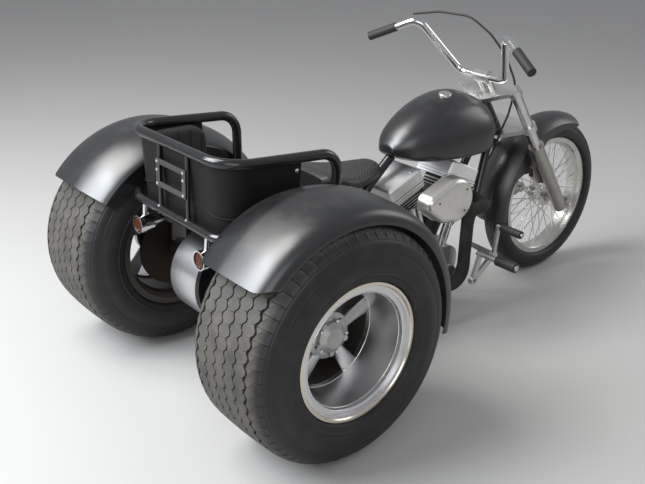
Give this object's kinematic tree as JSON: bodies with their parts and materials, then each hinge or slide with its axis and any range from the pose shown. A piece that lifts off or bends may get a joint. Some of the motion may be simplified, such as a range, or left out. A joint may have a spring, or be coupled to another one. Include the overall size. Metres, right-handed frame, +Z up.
{
  "type": "motorized trike",
  "caption": "Three-wheeled motorcycle with a raked fork, open V-twin engine, solo seat and a railed box seat between wide fendered rear wheels.",
  "frame": {"origin": "on the floor, below the middle of the vehicle's box", "axes": "+Y forward along the trike, +X to the rider's right, +Z up"},
  "size_m": [1.3064, 2.3129, 1.1256],
  "materials": {
    "black_satin": "satin black paint",
    "black_frame": "semi-gloss black paint",
    "raw_aluminium": "raw cast and machined aluminium",
    "fin_black": "black engine paint",
    "polished_wheel": "polished aluminium",
    "bare_steel": "bare bright steel",
    "dark_steel": "dark, slightly rusty steel",
    "tyre": "black tyre rubber, dusty tread",
    "rubber": "moulded black rubber",
    "black_leather": "black leather",
    "wrapped_pipe": "black heat wrap",
    "cable": "black cable sheath"
  },
  "bodies": {
    "frame": {"air_cleaner": "raw_aluminium", "box_body": "black_satin", "box_cushions": "black_leather", "box_rail": "black_frame", "box_subframe": "black_frame", "brake_callipers": "dark_steel", "control_cable_lower": "cable", "crankcase": "raw_aluminium", "differential_drum": "raw_aluminium", "drive_chain": "dark_steel", "drum_side_plate": "dark_steel", "engine_cylinders": "fin_black", "exhaust_pipes": "wrapped_pipe", "foot_controls": "raw_aluminium", "frame_downtubes": "black_frame", "frame_lower_rails": "black_frame", "frame_rear_stays": "black_frame", "frame_spine": "black_frame", "fuel_tank": "black_satin", "gearbox": "raw_aluminium", "intake_manifold": "raw_aluminium", "lower_bar": "black_frame", "peg_rubbers": "rubber", "primary_cover": "raw_aluminium", "pushrod_tubes": "bare_steel", "rear_axle_housing": "black_frame", "rear_fender_left": "black_satin", "rear_fender_right": "black_satin", "rocker_boxes": "raw_aluminium", "seat": "black_leather", "tail_lamps": "raw_aluminium"},
    "steering": {"upper_tree": "raw_aluminium", "lower_tree": "raw_aluminium", "steering_stem": "bare_steel", "fork_tubes": "bare_steel", "fork_sliders": "bare_steel", "front_axle": "bare_steel", "handlebar": "bare_steel", "riser_clamp": "raw_aluminium", "grips": "rubber", "front_fender": "black_satin", "control_cable_upper": "cable"},
    "front_wheel": {"front_tyre": "tyre", "front_rim": "polished_wheel", "front_hub": "polished_wheel"},
    "rear_wheel_left_body": {"rear_tyre_left": "tyre", "rear_wheel_left": "polished_wheel", "hub_cap_left": "polished_wheel", "axle_hub_left": "dark_steel"},
    "rear_wheel_right_body": {"rear_tyre_right": "tyre", "rear_wheel_right": "polished_wheel", "hub_cap_right": "polished_wheel", "axle_hub_right": "dark_steel"}
  },
  "joints": [
    {"name": "steering_turn", "type": "hinge", "parent": "frame", "child": "steering", "pos_m": [0, 0.41979, 0.74212], "axis": [0, -0.5878, 0.809], "range_deg": [-30, 30]},
    {"name": "front_wheel_spin", "type": "hinge", "parent": "steering", "child": "front_wheel", "pos_m": [0, 0.8255, 0.331], "axis": [1, 0, 0], "continuous": true},
    {"name": "rear_wheel_left_spin", "type": "hinge", "parent": "frame", "child": "rear_wheel_left_body", "pos_m": [-0.475, -0.7945, 0.362], "axis": [1, 0, 0], "continuous": true},
    {"name": "rear_wheel_right_spin", "type": "hinge", "parent": "frame", "child": "rear_wheel_right_body", "pos_m": [0.475, -0.7945, 0.362], "axis": [1, 0, 0], "continuous": true}
  ]
}
